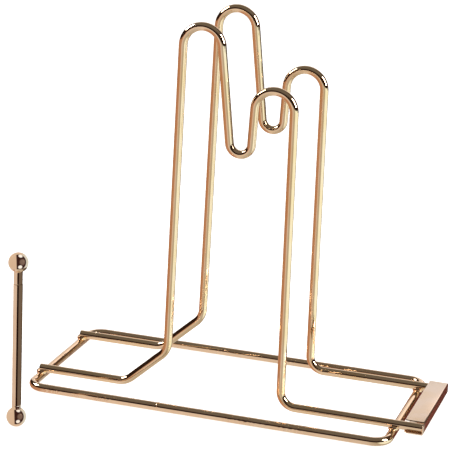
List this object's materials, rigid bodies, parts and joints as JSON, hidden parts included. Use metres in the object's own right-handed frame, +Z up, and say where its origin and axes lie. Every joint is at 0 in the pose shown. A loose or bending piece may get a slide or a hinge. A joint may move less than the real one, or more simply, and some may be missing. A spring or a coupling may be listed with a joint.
{
  "type": "photo album stand",
  "caption": "Bent-wire table stand with a tall and a short hump, a saddle between them, a wire base loop, a folded end channel and a loose rod with ball ends.",
  "frame": {"origin": "on the table, under the centre of the base loop", "axes": "+Z up, +X along the base loop towards the folded end channel, -Y towards the loose rod"},
  "size_m": [0.1888, 0.1321, 0.1801],
  "materials": {
    "plated_wire": "bright rose-gold plating on steel wire",
    "plated_weld": "bright rose-gold plating over weld metal",
    "plated_sheet": "rose-gold plating on folded sheet",
    "plated_rod": "bright rose-gold plating",
    "plated_ball": "bright rose-gold plating, polished",
    "bare_steel": "plain steel thread"
  },
  "bodies": {
    "stand": {"base_loop": "plated_wire", "butt_weld": "plated_weld", "near_wire": "plated_wire", "far_wire": "plated_wire", "foot_weld_near_left": "plated_weld", "foot_weld_near_right": "plated_weld", "foot_weld_far_left": "plated_weld", "foot_weld_far_right": "plated_weld", "end_channel": "plated_sheet", "channel_weld_near": "plated_weld", "channel_weld_far": "plated_weld"},
    "rod": {"rod_shaft": "plated_rod", "fixed_ball": "plated_ball"},
    "stud": {"ball_stud": "bare_steel"},
    "ball": {"screw_ball": "plated_ball"}
  },
  "joints": [
    {"name": "rod_lift", "type": "slide", "parent": "stand", "child": "rod", "axis": [0, 0, 1], "range_m": [0, 0.15]},
    {"name": "ball_screw_out", "type": "slide", "parent": "rod", "child": "stud", "axis": [0, 0, 1], "range_m": [0, 0.0045]},
    {"name": "ball_turn", "type": "hinge", "parent": "stud", "child": "ball", "pos_m": [-0.0738, -0.08425, 0.077], "axis": [0, 0, 1], "range_deg": [0, 3600]}
  ],
  "couplings": [
    {"joint": "ball_turn", "follows": "ball_screw_out", "rad_per_m": 13963}
  ]
}
